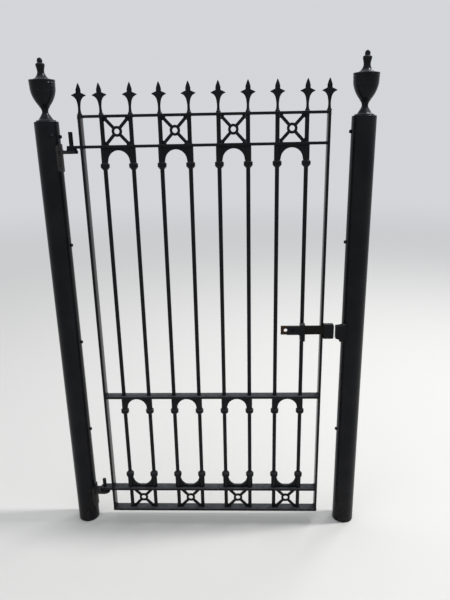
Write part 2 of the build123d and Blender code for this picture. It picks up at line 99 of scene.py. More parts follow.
# Light: an even sky, and round lamps as name, place, point aimed at, diameter and power
SKY_STRENGTH = 0.82
LAMPS = (
    ("rear_right_sky", (3.4, 2.6, 4.2), (0.6, 0.0, 1.0), 1.4, 45),
    ("front_fill", (-1.8, -3.6, 3.6), (0.6, 0.0, 0.9), 2.2, 10),
    ("high_right", (3.4, 0.2, 5.6), (0.6, 0.0, 1.4), 0.5, 185),
)

# The floor is a disc that fades into the sky between two distances from its centre
FLOOR_CENTRE = (0.58, 0.0, -0.002)
FLOOR_RADIUS = 60.0
FLOOR_SIDES = 96
FLOOR_ROUGHNESS = 0.9
FADE_STARTS = 2.5
FADE_ENDS = 12.0

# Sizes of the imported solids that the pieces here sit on
BAR_COUNT = 8
BAR_RADIUS = 0.008
POST_RADIUS = 0.04445
SADDLE_RADIUS = 0.04845
GUDGEON_HALF_WIDTH = 0.022
GUDGEON_THICKNESS = 0.012
URN_SPIGOT = 0.024
RAILS = ("bottom_rail", "lower_rail", "middle_rail", "frieze_rail", "top_rail")

# Edges rounded over by paint. On a plate that is an edge of at least SHARP_ANGLE, once its faces that
# meet at less than FLAT_ANGLE are joined.
EDGE = 0.0010
EDGE_PROFILE = 0.5
FLAT_EDGE_SEGMENTS = 3
PLATE_EDGE_SEGMENTS = 2
SHARP_ANGLE = radians(50)
FLAT_ANGLE = radians(1)

# Fixings through the posts, each with its shank's end 1 mm short of the far side, and the screw that holds
# the hinge post's urn. HEAD_RIM is the share of a head's height that is under its dome, and HEAD_ANGLES are
# the dome's steps from its rim to near its top.
FIXING_HEIGHTS = (0.450, 0.857, 1.264, 1.671)
HEAD_RADIUS = 0.0066
HEAD_HEIGHT = 0.0080
HEAD_RIM = 0.45
HEAD_CHAMFER = 0.0006
HEAD_CHAMFER_TOP = 0.0004
HEAD_SUNK = 0.0005
HEAD_ANGLES = (0, 0.3, 0.6, 0.9, 1.15, 1.4)
SHANK_RADIUS = 0.005
FIXING_SIDES = 32
FIXING_DEPTH = 2 * POST_RADIUS - 0.001
LOCK_SCREW_HEIGHT = 1.674
LOCK_SCREW_TURN = radians(-56)
LOCK_SCREW_DEPTH = 0.003

# Weld beads: the radius of each kind, the rings they make round bars and bosses, where some of them lie,
# and the ripple and wander of all as shares of the radius
FRAME_BEAD = 0.0018
BAR_BEAD = 0.0016
BOSS_BEAD = 0.0011
PLATE_BEAD = 0.0024
STRIP_BEAD = 0.0022
HOUSING_BEAD = 0.0020
BAR_RING = BAR_RADIUS + 0.0004
BOSS_RING = 0.0088
RING_POINTS = 28
RING_STEP = 0.003
BEAD_STEP = 0.0016
BEAD_SIDES = 8
SMALL_BEAD_SIDES = 6
BEAD_RIPPLE = 0.10
RIPPLE_STEPS = 3
BEAD_WANDER = 0.25
WANDER_SCALE = 190
GUIDE_BEAD_Y = -0.004
GUIDE_BEAD_INSET = 0.001
HOUSING_BEAD_Y = -0.0195
KEEP_BEAD_INSET = 0.002
SADDLE_STEPS = 12

# Castings: how far one reaches from the middle of its pair of bars, how its edges are softened, and how
# uneven the skin of a turned or lofted one is, as a height and as scales with the share of each
CASTING_REACH = 0.08
ARCH_CAST = {"voxel": 0.0011, "share": 0.25, "soften": 4}
RING_CAST = {"voxel": 0.0009, "share": 0.3, "soften": 2}
SKIN_HEIGHT = 0.00025
SKIN_SCALES = ((45, 1.0), (160, 0.5))

# Spearheads: the lean of each in degrees, and the sections of all in millimetres. A section is its height
# above the rail, half width, half depth and fullness, which is 2 where it is round, 1 where it is a
# diamond and less where wings thin towards their edge. SPEAR_BLUNT is the half thickness of a cast edge,
# SPEAR_BLUNT_SHARE its limit as a share of the half depth, and SPEAR_BLUNT_POWER rounds it off.
SPEAR_LEANS = (1.4, -1.2, 1.3, 0.3, -0.4, 0.2, 0.5, -0.3, 0.2, -0.5)
SPEAR_SIDES = 40
SPEAR_BLUNT = 1.1
SPEAR_BLUNT_SHARE = 0.9
SPEAR_BLUNT_POWER = 6
SPEAR_SECTIONS = (
    (0.0, 8.7, 8.7, 2.0), (0.5, 8.9, 8.9, 2.0), (3.0, 8.9, 8.9, 2.0), (4.0, 8.7, 8.7, 2.0),
    (5.0, 8.2, 8.2, 2.0), (6.1, 7.4, 7.4, 2.0), (7.4, 6.6, 6.6, 2.0), (9.3, 5.95, 5.95, 2.0),
    (11.8, 5.5, 5.5, 2.0), (14.5, 5.2, 5.2, 2.0), (18.0, 4.95, 4.95, 2.0), (22.0, 4.8, 4.8, 2.0),
    (26.0, 4.75, 4.8, 2.0), (30.0, 4.95, 4.9, 1.9), (34.0, 5.5, 5.2, 1.6), (38.0, 6.05, 5.5, 1.35),
    (42.0, 6.65, 5.8, 1.15), (46.0, 7.45, 6.0, 1.0), (50.0, 8.6, 6.2, 0.92),
    (54.0, 10.4, 6.3, 0.84), (57.0, 12.2, 6.3, 0.78), (60.0, 14.6, 6.3, 0.72),
    (62.5, 17.4, 6.3, 0.68), (64.5, 20.9, 6.3, 0.65), (66.0, 24.4, 6.3, 0.62),
    (67.1, 26.2, 6.3, 0.6), (67.9, 26.9, 6.3, 0.6), (68.6, 27.0, 6.3, 0.6), (69.3, 26.2, 6.2, 0.6),
    (70.6, 23.8, 6.2, 0.62), (72.3, 20.2, 6.1, 0.65), (74.2, 16.0, 6.0, 0.7),
    (76.0, 11.6, 6.0, 0.8), (77.4, 9.5, 6.0, 0.9), (79.0, 9.1, 6.0, 1.0), (82.0, 9.4, 6.0, 1.0),
    (85.0, 9.4, 5.9, 1.0), (88.0, 9.0, 5.6, 1.0), (91.0, 8.15, 5.1, 1.0), (94.0, 7.15, 4.6, 1.0),
    (98.0, 5.8, 3.8, 1.0), (102.0, 4.3, 2.9, 1.0), (106.0, 2.6, 1.8, 1.05), (108.6, 1.35, 1.0, 1.2),
    (109.7, 0.65, 0.55, 1.6), (110.0, 0.15, 0.15, 2.0),
)

# The urn's turned profile in millimetres, radius and height above the post, from spigot to button
URN_SIDES = 72
URN_PROFILE = (
    (0.0, -24.0), (38.9, -24.0), (38.9, -0.2), (43.0, 0.0), (43.45, 0.5), (43.45, 2.4), (42.9, 3.0),
    (36.6, 3.1), (35.95, 3.6), (35.95, 6.7), (35.3, 7.5), (32.0, 8.2), (28.6, 8.8), (27.0, 9.4),
    (25.0, 11.8), (23.0, 14.8), (21.2, 17.5), (19.5, 20.2), (17.8, 22.8), (16.1, 25.3),
    (14.5, 27.8), (13.1, 30.2), (12.0, 32.6), (11.4, 35.0), (11.2, 37.2), (11.4, 39.6),
    (12.0, 42.4), (13.0, 45.4), (14.4, 48.4), (16.2, 51.2), (17.9, 53.2), (18.4, 54.0),
    (19.2, 54.4), (19.5, 55.2), (19.5, 56.2), (19.1, 57.0), (19.6, 57.6), (22.0, 60.0),
    (25.8, 65.0), (28.9, 70.0), (32.2, 75.0), (34.8, 80.0), (37.2, 85.0), (39.2, 90.0),
    (40.9, 95.0), (42.4, 100.0), (43.6, 105.0), (44.2, 108.4), (44.7, 109.0), (44.8, 110.2),
    (44.5, 110.8), (45.0, 115.0), (45.2, 119.5), (45.3, 125.5), (45.2, 126.8), (44.8, 127.4),
    (45.1, 128.0), (45.7, 129.4), (46.0, 131.2), (46.1, 132.6), (46.0, 134.0), (45.6, 135.6),
    (45.0, 136.6), (44.7, 137.2), (45.6, 137.6), (46.2, 138.1), (46.3, 139.0), (46.3, 144.6),
    (46.1, 145.5), (45.3, 146.0), (43.0, 146.2), (38.0, 146.6), (33.0, 147.5), (28.5, 149.0),
    (24.3, 151.3), (20.9, 154.2), (18.0, 157.8), (15.7, 161.8), (13.9, 165.6), (12.8, 169.0),
    (12.4, 172.0), (12.5, 176.0), (13.0, 180.0), (13.8, 184.0), (14.8, 188.0), (15.7, 191.4),
    (16.1, 194.0), (16.1, 196.6), (15.5, 198.7), (14.0, 200.2), (11.8, 201.2), (10.0, 202.0),
    (9.3, 203.2), (9.5, 206.0), (9.7, 208.6), (9.5, 211.4), (8.6, 214.4), (6.9, 217.0),
    (4.3, 218.9), (2.0, 219.6), (0.0, 219.8),
)
MM = 0.001
TINY = 1e-6


# Materials

class Tree:
    """A material's nodes, with short calls for the ones used here."""

    def __init__(self, name):
        self.material = bpy.data.materials.new(name)
        self.material.use_nodes = True
        self.tree = self.material.node_tree
        self.shader = self.tree.nodes["Principled BSDF"]
        self.place = self.add("ShaderNodeTexCoord").outputs["Object"]

    def add(self, kind, **settings):
        node = self.tree.nodes.new(kind)
        for key, value in settings.items():
            setattr(node, key, value)
        return node

    def link(self, source, target):
        self.tree.links.new(source, target)

    def noise(self, scale, detail, rough=0.6, stretch=None):
        node = self.add("ShaderNodeTexNoise")
        node.inputs["Scale"].default_value = scale
        node.inputs["Detail"].default_value = detail
        node.inputs["Roughness"].default_value = rough
        source = self.place
        if stretch:
            mapping = self.add("ShaderNodeMapping")
            mapping.inputs["Scale"].default_value = stretch
            self.link(source, mapping.inputs["Vector"])
            source = mapping.outputs["Vector"]
        self.link(source, node.inputs["Vector"])
        return node.outputs["Fac"]

    def spread(self, source, low, high, to_low=0.0, to_high=1.0):
        """A smooth step from to_low, where the source is at low, to to_high, where it is at high."""
        node = self.add("ShaderNodeMapRange", interpolation_type="SMOOTHSTEP")
        for key, value in (("From Min", low), ("From Max", high), ("To Min", to_low), ("To Max", to_high)):
            node.inputs[key].default_value = value
        self.link(source, node.inputs["Value"])
        return node.outputs["Result"]

    def patches(self, scale, detail, low, high, rough=0.6, to_low=0.0, to_high=1.0):
        """Noise with the middle of its range spread from to_low to to_high."""
        return self.spread(self.noise(scale, detail, rough), low, high, to_low, to_high)

    def math(self, operation, first, second):
        node = self.add("ShaderNodeMath", operation=operation)
        for socket, value in zip(node.inputs, (first, second)):
            if isinstance(value, (int, float)):
                socket.default_value = value
            else:
                self.link(value, socket)
        return node.outputs["Value"]

    def mix(self, factor, first, second):
        node = self.add("ShaderNodeMix", data_type="RGBA")
        self.link(factor, node.inputs["Factor"])
        for socket, value in ((node.inputs["A"], first), (node.inputs["B"], second)):
            if isinstance(value, tuple):
                socket.default_value = value
            else:
                self.link(value, socket)
        return node.outputs["Result"]

    def part(self, vector, axis):
        node = self.add("ShaderNodeSeparateXYZ")
        self.link(vector, node.inputs["Vector"])
        return node.outputs[axis]

    def upward(self):
        """How far a surface faces up, from 0 on a wall to 1 on a floor."""
        normal = self.add("ShaderNodeNewGeometry").outputs["Normal"]
        return self.spread(self.part(normal, "Z"), UPWARD_STARTS, UPWARD_FULL)

    def bump(self, *layers):
        """Bump layers as (height, strength, distance), each on top of the last."""
        normal = None
        for height, strength, distance in layers:
            node = self.add("ShaderNodeBump")
            node.inputs["Strength"].default_value = strength
            node.inputs["Distance"].default_value = distance
            self.link(height, node.inputs["Height"])
            if normal:
                self.link(normal, node.inputs["Normal"])
            normal = node.outputs["Normal"]
        self.link(normal, self.shader.inputs["Normal"])

    def finish(self, color, roughness, specular):
        self.link(color, self.shader.inputs["Base Color"])
        self.link(roughness, self.shader.inputs["Roughness"])
        self.shader.inputs["Specular IOR Level"].default_value = specular
        return self.material


def painted(name, brush):
    """Brushed gloss paint: streaks along the brush, dust and painted sky light on upward faces and splashes
    near the ground.
    """
    t = Tree(name)
    worn = t.patches(scale=9.0, detail=5.0, low=0.35, high=0.7)
    dust_and_light_patches = t.patches(scale=55.0, detail=6.0, rough=0.7, low=0.30, high=0.62, to_low=0.35, to_high=0.8)
    # Upward faces get the dust colour, which is dust and also painted sky light.
    upward_dust_and_light = t.math("MULTIPLY", t.upward(), dust_and_light_patches)
    near_ground = t.spread(t.part(t.place, "Z"), low=SPLASH_HEIGHT, high=0.0)
    spots = t.patches(scale=70.0, detail=8.0, rough=0.75, low=0.46, high=0.72, to_high=0.75)
    splashed = t.math("MULTIPLY", near_ground, spots)
    color = t.mix(worn, BLACK, BLACK_WORN)
    color = t.mix(splashed, color, SPLASH)
    color = t.mix(upward_dust_and_light, color, DUST_AND_SKY_LIGHT)
    streaks = t.noise(scale=1.0, detail=3.0, stretch=brush)
    gloss = t.spread(streaks, low=0.3, high=0.7, to_low=0.20, to_high=0.36)
    dull = t.math("MULTIPLY", t.math("MAXIMUM", upward_dust_and_light, splashed), DULLED)
    t.bump(
        (streaks, 0.16, 0.0006),
        (t.noise(scale=420.0, detail=3.0), 0.10, 0.0004),
        (t.noise(scale=60.0, detail=2.0), 0.12, 0.0010),
    )
    return t.finish(color, t.math("ADD", gloss, dull), PAINT_SPECULAR)


def cast(name):
    """Painted casting: a faintly pitted skin, with worn patches and a little dust and painted sky light on
    upward faces.
    """
    t = Tree(name)
    worn = t.patches(scale=16.0, detail=5.0, low=0.35, high=0.7)
    dust_and_light_patches = t.patches(scale=80.0, detail=6.0, rough=0.7, low=0.32, high=0.66, to_low=0.15, to_high=0.55)
    # Upward faces get the dust colour, which is dust and also painted sky light.
    upward_dust_and_light = t.math("MULTIPLY", t.upward(), dust_and_light_patches)
    color = t.mix(worn, BLACK, BLACK_WORN)
    color = t.mix(upward_dust_and_light, color, DUST_AND_SKY_LIGHT)
    skin = t.noise(scale=320.0, detail=5.0, rough=0.7)
    gloss = t.spread(skin, low=0.3, high=0.7, to_low=0.16, to_high=0.30)
    dull = t.math("MULTIPLY", upward_dust_and_light, DULLED)
    t.bump((skin, 0.15, 0.0006), (t.noise(scale=90.0, detail=3.0), 0.14, 0.0012))
    return t.finish(color, t.math("ADD", gloss, dull), PAINT_SPECULAR)


def worn_steel(name, tail_x):
    """A sliding flat bar: bare brown steel at the tail that is handled, and along the top edge."""
    t = Tree(name)
    scratches = t.noise(scale=1.0, detail=6.0, rough=0.7, stretch=SCRATCHED)
    ragged = t.spread(t.noise(scale=60.0, detail=5.0, rough=0.7), 0.0, 1.0, -BARE_RAGGED, BARE_RAGGED)
    along = t.math("ADD", t.part(t.place, "X"), ragged)
    handled = t.spread(along, low=tail_x + BARE_END, high=tail_x + BARE_FULL)
    rubbed = t.math("MAXIMUM", handled, t.math("MULTIPLY", t.upward(), EDGE_RUBBED))
    left_bare = t.patches(scale=70.0, detail=5.0, rough=0.65, low=0.30, high=0.52, to_low=0.45)
    color = t.mix(t.math("MULTIPLY", rubbed, left_bare), STEEL_DARK, STEEL)
    bright = t.spread(scratches, low=0.56, high=0.74, to_high=0.6)
    color = t.mix(t.math("MULTIPLY", rubbed, bright), color, STEEL_PALE)
    roughness = t.spread(scratches, low=0.3, high=0.7, to_low=0.34, to_high=0.60)
    t.bump((scratches, 0.25, 0.0005), (t.noise(scale=140.0, detail=4.0), 0.15, 0.0005))
    return t.finish(color, roughness, STEEL_SPECULAR)


def weathered_and_reflecting(name):
    """Thin old paint on the hinge saddles, chalky and patchy, whose pale colour is also a painted
    reflection, and that turns black again out at the pin.
    """
    t = Tree(name)
    pale_patches = t.patches(scale=28.0, detail=7.0, rough=0.7, low=0.36, high=0.62, to_low=0.35)
    # The pale colour near the post is chalky paint and also a painted reflection.
    chalk_and_reflection_share = t.math("MULTIPLY", pale_patches, t.spread(t.part(t.place, "X"), low=PALE_END_X, high=PALE_FULL_X))
    color = t.mix(chalk_and_reflection_share, BLACK_WORN, CHALK_AND_REFLECTION)
    rust = t.patches(scale=120.0, detail=6.0, rough=0.7, low=0.62, high=0.74, to_high=0.35)
    color = t.mix(t.math("MULTIPLY", chalk_and_reflection_share, rust), color, STEEL)
    roughness = t.spread(chalk_and_reflection_share, low=0.0, high=1.0, to_low=0.34, to_high=0.6)
    t.bump(
        (t.noise(scale=260.0, detail=6.0, rough=0.7), 0.25, 0.0006),
        (t.noise(scale=60.0, detail=4.0), 0.25, 0.001),
    )
    return t.finish(color, roughness, WEATHERED_SPECULAR)


upright_paint = painted("brushed_black_upright", BRUSHED_UPRIGHT)
level_paint = painted("brushed_black_level", BRUSHED_LEVEL)
cast_paint = cast("cast_black")
bolt_steel = worn_steel("worn_bolt_steel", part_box("slide_bolt")[0].x)
saddle_paint = weathered_and_reflecting("weathered_black_with_reflection")


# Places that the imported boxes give

def centre_of(node):
    low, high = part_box(node)
    return (low + high) / 2


bars_x = [centre_of(f"bar_{i}").x for i in range(1, BAR_COUNT + 1)]
pairs_x = [(left + right) / 2 for left, right in zip(bars_x[::2], bars_x[1::2])]
latch_post_x = centre_of("latch_post").x
rails = {name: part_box(name) for name in RAILS}


# Mesh helpers

def finish_piece(name, mesh, body, slot, material, *replaced):
    """A piece of the model on its body, in place of the nodes that it replaces. The slot is not used."""
    piece = bpy.data.objects.new(name, mesh)
    collection.objects.link(piece)
    if not mesh.materials:
        mesh.materials.append(material)
    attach(piece, body)
    if replaced:
        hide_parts(*replaced)
    return piece


def mesh_from(build, name):
    mesh = bpy.data.meshes.new(name)
    build.normal_update()
    build.to_mesh(mesh)
    build.free()
    mesh.shade_smooth()
    return mesh


def finish_metalwork(build, name, body):
    """Welds or fixings as a painted piece of their own."""
    finish_piece(name, mesh_from(build, name), body, "black_paint", cast_paint)


def node_build(node):
    """The node's own mesh, with its doubled points merged."""
    build = bmesh.new()
    build.from_mesh(nodes[node].data)
    bmesh.ops.remove_doubles(build, verts=build.verts, dist=TINY)
    return build


def evaluated(mesh, modifiers):
    """The mesh after a list of modifiers, each a kind and its settings."""
    scratch = bpy.data.objects.new("scratch", mesh)
    collection.objects.link(scratch)
    for kind, settings in modifiers:
        modifier = scratch.modifiers.new(kind.lower(), kind)
        for key, value in settings.items():
            setattr(modifier, key, value)
    graph = bpy.context.evaluated_depsgraph_get()
    result = bpy.data.meshes.new_from_object(scratch.evaluated_get(graph))
    bpy.data.objects.remove(scratch)
    result.shade_smooth()
    return result


def cast_mesh(name, node, centre, voxel, share, soften):
    """A node's shape round centre, which becomes its origin, with the soft edges of a sand casting."""
    build = node_build(node)
    outside = [v for v in build.verts if abs(v.co.x - centre.x) > CASTING_REACH]
    bmesh.ops.delete(build, geom=outside, context="VERTS")
    bmesh.ops.translate(build, verts=build.verts, vec=-centre)
    soft = evaluated(mesh_from(build, name), [
        ("REMESH", {"mode": "VOXEL", "voxel_size": voxel}),
        ("SMOOTH", {"iterations": soften}),
        ("DECIMATE", {"ratio": share}),
    ])
    soft.name = name
    return soft


def bevelled(node):
    """A node's shape with its sharp edges rounded over."""
    build = node_build(node)
    bmesh.ops.dissolve_limit(build, angle_limit=FLAT_ANGLE, verts=build.verts, edges=build.edges)
    return evaluated(mesh_from(build, node), [
        ("BEVEL", {"width": EDGE, "segments": PLATE_EDGE_SEGMENTS, "limit_method": "ANGLE",
                   "angle_limit": SHARP_ANGLE}),
        ("WEIGHTED_NORMAL", {}),
    ])


def at_each_pair(name, mesh, level, flip=False):
    """One mesh at each pair of bars, at a level, turned upside down where flip is set."""
    build = bmesh.new()
    for x in pairs_x:
        part = bmesh.new()
        part.from_mesh(mesh)
        if flip:
            bmesh.ops.rotate(part, verts=part.verts, matrix=Matrix.Rotation(pi, 3, "Y"))
        bmesh.ops.translate(part, verts=part.verts, vec=Vector((x, 0, level)))
        placed = bpy.data.meshes.new("part")
        part.to_mesh(placed)
        part.free()
        build.from_mesh(placed)
        bpy.data.meshes.remove(placed)
    return mesh_from(build, name)


def join_rings(build, rings, sides):
    """Faces between each ring of points and the next. A ring of one point closes to a tip."""
    for first, second in zip(rings, rings[1:]):
        for s in range(sides):
            t = (s + 1) % sides
            corners = (
                first[s % len(first)], first[t % len(first)],
                second[t % len(second)], second[s % len(second)],
            )
            unique = list(dict.fromkeys(corners))
            if len(unique) > 2:
                build.faces.new(unique)


def cap_ends(build, rings):
    build.faces.new(reversed(rings[0]))
    build.faces.new(rings[-1])


def add_tube(build, points, radii, closed, sides):
    """A tube through the points, with a radius at each."""
    count = len(points)
    rings = []
    up = None
    for i, point in enumerate(points):
        before = points[i - 1] if i or closed else point
        after = points[(i + 1) % count] if i < count - 1 or closed else point
        along = (after - before).normalized()
        if up is None:
            up = along.orthogonal().normalized()
        up = (up - along * up.dot(along)).normalized()
        side = along.cross(up)
        ring = []
        for s in range(sides):
            a = 2 * pi * s / sides
            ring.append(build.verts.new(point + radii[i] * (cos(a) * up + sin(a) * side)))
        rings.append(ring)
    if closed:
        join_rings(build, rings + rings[:1], sides)
    else:
        join_rings(build, rings, sides)
        cap_ends(build, rings)


def add_bead(build, points, radius, closed=False, step=BEAD_STEP, sides=BEAD_SIDES):
    """A weld bead: a tube with the even ripple and small wander of a hand-run weld."""
    corners = list(points) + ([points[0]] if closed else [])
    fine = []
    for start, end in zip(corners, corners[1:]):
        pieces = max(1, round((end - start).length / step))
        fine += [start.lerp(end, i / pieces) for i in range(pieces)]
    if not closed:
        fine.append(corners[-1])
    radii = []
    for i, point in enumerate(fine):
        ripple = BEAD_RIPPLE * cos(i * 2 * pi / RIPPLE_STEPS)
        wander = BEAD_WANDER * noise.noise(point * WANDER_SCALE)
        radii.append(radius * (1 + ripple + wander))
    add_tube(build, fine, radii, closed, sides)


def add_ring_bead(build, centre, ring_radius, radius):
    """A weld bead on a level circle, as round a bar."""
    points = []
    for i in range(RING_POINTS):
        a = 2 * pi * i / RING_POINTS
        points.append(centre + Vector((ring_radius * cos(a), ring_radius * sin(a), 0)))
    add_bead(build, points, radius, closed=True, step=RING_STEP, sides=SMALL_BEAD_SIDES)


def add_frame_bead(build, centre, half_size, radius, sides=BEAD_SIDES):
    """A weld bead round a rectangle, whose half size is 0 along X or along Z."""
    x, y, z = half_size
    if x:
        corners = ((-x, -y, 0), (x, -y, 0), (x, y, 0), (-x, y, 0))
    else:
        corners = ((0, -y, -z), (0, y, -z), (0, y, z), (0, -y, z))
    add_bead(build, [centre + Vector(corner) for corner in corners], radius, closed=True, sides=sides)


def add_upright_bead(build, x, y, low_z, high_z):
    add_bead(build, [Vector((x, y, low_z)), Vector((x, y, high_z))], STRIP_BEAD)


def add_turned(build, profile, matrix, sides):
    """A turned solid from (radius, height) points along its own Z, placed by the matrix."""
    rings = []
    for radius, height in profile:
        if radius < TINY:
            rings.append([build.verts.new(matrix @ Vector((0, 0, height)))])
            continue
        ring = []
        for s in range(sides):
            a = 2 * pi * s / sides
            ring.append(build.verts.new(matrix @ Vector((radius * cos(a), radius * sin(a), height))))
        rings.append(ring)
    join_rings(build, rings, sides)


def roughen(build):
    """Moves each point a little along its normal, for the uneven skin of a casting."""
    build.normal_update()
    for v in build.verts:
        unevenness = sum(share * noise.noise(v.co * scale) for scale, share in SKIN_SCALES)
        v.co += v.normal * SKIN_HEIGHT * unevenness


# Flat bars: the stiles and rails with their edges rounded over by paint

def make_flats():
    for node, paint in (
        ("hinge_stile", upright_paint),
        ("latch_stile", upright_paint),
        *((rail, level_paint) for rail in RAILS),
    ):
        low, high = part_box(node)
        build = bmesh.new()
        bmesh.ops.create_cube(build, size=1.0)
        bmesh.ops.scale(build, verts=build.verts, vec=high - low)
        bmesh.ops.translate(build, verts=build.verts, vec=(low + high) / 2)
        bmesh.ops.bevel(build, geom=build.edges, offset=EDGE, segments=FLAT_EDGE_SEGMENTS, affect="EDGES",
                        profile=EDGE_PROFILE)
        finish_piece(f"{node}_flat", mesh_from(build, node), "leaf", "black_paint", paint, node)


# Plates and pins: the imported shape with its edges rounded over

def make_plates():
    for group, body, slot, material in (
        (("top_gudgeon", "bottom_gudgeon"), "posts", "black_paint", saddle_paint),
        (("top_hinge_pin", "bottom_hinge_pin"), "posts", "worn_steel", cast_paint),
        (("latch_keep",), "posts", "black_paint", level_paint),
        (("top_hinge_eye", "bottom_hinge_eye"), "leaf", "black_paint", level_paint),
        (("bolt_guide", "bolt_housing"), "leaf", "black_paint", level_paint),
        (("slide_bolt",), "bolt", "worn_steel", bolt_steel),
    ):
        for node in group:
            finish_piece(f"{node}_shaped", bevelled(node), body, slot, material, node)


# Castings: one mesh of each kind, copied to its places

def make_panels():
    """The arches under and over the rails, and the rings in the two bands."""
    first = pairs_x[0]
    frieze_level = rails["frieze_rail"][0].z
    arch = cast_mesh("arch", "frieze_arches", Vector((first, 0, frieze_level)), **ARCH_CAST)
    for node, level, flip in (
        ("frieze_arches", frieze_level, False),
        ("middle_arches", rails["middle_rail"][0].z, False),
        ("lower_arches", rails["lower_rail"][1].z, True),
    ):
        mesh = at_each_pair(node, arch, level, flip)
        finish_piece(f"{node}_cast", mesh, "leaf", "cast_black", cast_paint, node)
    ring = cast_mesh("ring", "frieze_rings", Vector((first, 0, centre_of("frieze_rings").z)), **RING_CAST)
    for node in ("frieze_rings", "base_rings"):
        mesh = at_each_pair(node, ring, centre_of(node).z)
        finish_piece(f"{node}_cast", mesh, "leaf", "cast_black", cast_paint, node)


def spear_mesh():
    """A spearhead lofted through its sections, with edges as blunt as a sand casting's."""
    build = bmesh.new()
    rings = []
    for height, width, depth, fullness in SPEAR_SECTIONS:
        edge = min(SPEAR_BLUNT, SPEAR_BLUNT_SHARE * depth)
        ring = []
        for s in range(SPEAR_SIDES):
            angle = 2 * pi * s / SPEAR_SIDES
            across = abs(cos(angle))
            body = depth * (1 - across**fullness) ** (1 / fullness)
            blunted = edge * (1 - across**SPEAR_BLUNT_POWER) ** 0.5
            y = copysign(max(body, blunted), sin(angle))
            ring.append(build.verts.new((width * cos(angle) * MM, y * MM, height * MM)))
        rings.append(ring)
    join_rings(build, rings, SPEAR_SIDES)
    cap_ends(build, rings)
    roughen(build)
    return mesh_from(build, "spearhead")


def make_spearheads():
    """Each leans a little, as cast heads pinned on by hand do."""
    mesh = spear_mesh()
    for i, lean in enumerate(SPEAR_LEANS, 1):
        node = f"spearhead_{i}"
        piece = finish_piece(f"{node}_cast", mesh, "leaf", "cast_black", cast_paint, node)
        piece.location = (centre_of(node).x, 0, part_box(node)[0].z)
        piece.rotation_euler = (0, radians(lean), 0)


def urn_mesh():
    """The urn turned from its profile, with the foot of its spigot at the origin."""
    build = bmesh.new()
    profile = [(radius * MM, height * MM) for radius, height in URN_PROFILE]
    add_turned(build, profile, Matrix.Translation((0, 0, URN_SPIGOT)), URN_SIDES)
    bmesh.ops.recalc_face_normals(build, faces=build.faces)
    roughen(build)
    return mesh_from(build, "urn")


def make_urns():
    mesh = urn_mesh()
    for node, x in (("hinge_post_urn", 0.0), ("latch_post_urn", latch_post_x)):
        piece = finish_piece(f"{node}_cast", mesh, "posts", "cast_black", cast_paint, node)
        piece.location = (x, 0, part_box(node)[0].z)


# Welds

def make_bar_welds():
    """Round the bars at each face of a rail that no casting hides, and round the spearheads' bosses."""
    hidden = {("frieze_rail", "under"), ("middle_rail", "under"), ("lower_rail", "over")}
    stiles_x = [centre_of("hinge_stile").x, centre_of("latch_stile").x]
    for node, (low, high) in rails.items():
        build = bmesh.new()
        for face, level in (("under", low.z), ("over", high.z)):
            if (node, face) == ("top_rail", "over"):
                for x in bars_x + stiles_x:
                    add_ring_bead(build, Vector((x, 0, level)), BOSS_RING, BOSS_BEAD)
            elif (node, face) not in hidden:
                for x in bars_x:
                    add_ring_bead(build, Vector((x, 0, level)), BAR_RING, BAR_BEAD)
        finish_metalwork(build, f"{node}_bar_welds", "leaf")


def make_frame_welds():
    """Where the inner rails meet the stiles, and round the stiles' ends."""
    build = bmesh.new()
    left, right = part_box("hinge_stile"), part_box("latch_stile")
    half_depth = (left[1].y - left[0].y) / 2
    for node in ("lower_rail", "middle_rail", "frieze_rail"):
        low, high = rails[node]
        for x in (left[1].x, right[0].x):
            middle = Vector((x, 0, (low.z + high.z) / 2))
            half_size = (0, half_depth, (high.z - low.z) / 2)
            add_frame_bead(build, middle, half_size, FRAME_BEAD, SMALL_BEAD_SIDES)
    for low, high in (left, right):
        for z in (low.z, high.z):
            middle = Vector(((low.x + high.x) / 2, 0, z))
            half_size = ((high.x - low.x) / 2, half_depth, 0)
            add_frame_bead(build, middle, half_size, FRAME_BEAD, SMALL_BEAD_SIDES)
    finish_metalwork(build, "frame_welds", "leaf")


def make_leaf_plate_welds():
    """Round the hinge eyes, beside the bolt's guide and behind its housing."""
    build = bmesh.new()
    stile_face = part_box("hinge_stile")[0].x
    for node in ("top_hinge_eye", "bottom_hinge_eye"):
        low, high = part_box(node)
        middle = Vector((stile_face, 0, (low.z + high.z) / 2))
        add_frame_bead(build, middle, (0, (high.y - low.y) / 2, (high.z - low.z) / 2), PLATE_BEAD)
    low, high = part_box("bolt_guide")
    for side in (-1, 1):
        x = bars_x[-1] + side * BAR_RADIUS
        add_upright_bead(build, x, GUIDE_BEAD_Y, low.z + GUIDE_BEAD_INSET, high.z - GUIDE_BEAD_INSET)
    low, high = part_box("bolt_housing")
    corners = ((HOUSING_BEAD_Y, high.z), (high.y, high.z), (high.y, low.z), (HOUSING_BEAD_Y, low.z))
    add_bead(build, [Vector((low.x, y, z)) for y, z in corners], HOUSING_BEAD)
    finish_metalwork(build, "leaf_plate_welds", "leaf")


def make_post_plate_welds():
    """Where the gudgeons' plates leave their saddles, and beside the keep."""
    build = bmesh.new()
    across = [GUDGEON_HALF_WIDTH * (1 - 2 * i / SADDLE_STEPS) for i in range(SADDLE_STEPS + 1)]
    arc = [(sqrt(SADDLE_RADIUS**2 - y * y), y) for y in across]
    for pin in ("top_hinge_pin", "bottom_hinge_pin"):
        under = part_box(pin)[0].z
        loop = [Vector((x, y, under)) for x, y in arc]
        loop += [Vector((x, y, under + GUDGEON_THICKNESS)) for x, y in reversed(arc)]
        add_bead(build, loop, PLATE_BEAD, closed=True)
    low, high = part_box("latch_keep")
    for y in (low.y, high.y):
        x = latch_post_x - sqrt(POST_RADIUS**2 - y * y)
        add_upright_bead(build, x, y, low.z + KEEP_BEAD_INSET, high.z - KEEP_BEAD_INSET)
    finish_metalwork(build, "post_plate_welds", "posts")


# Fixings

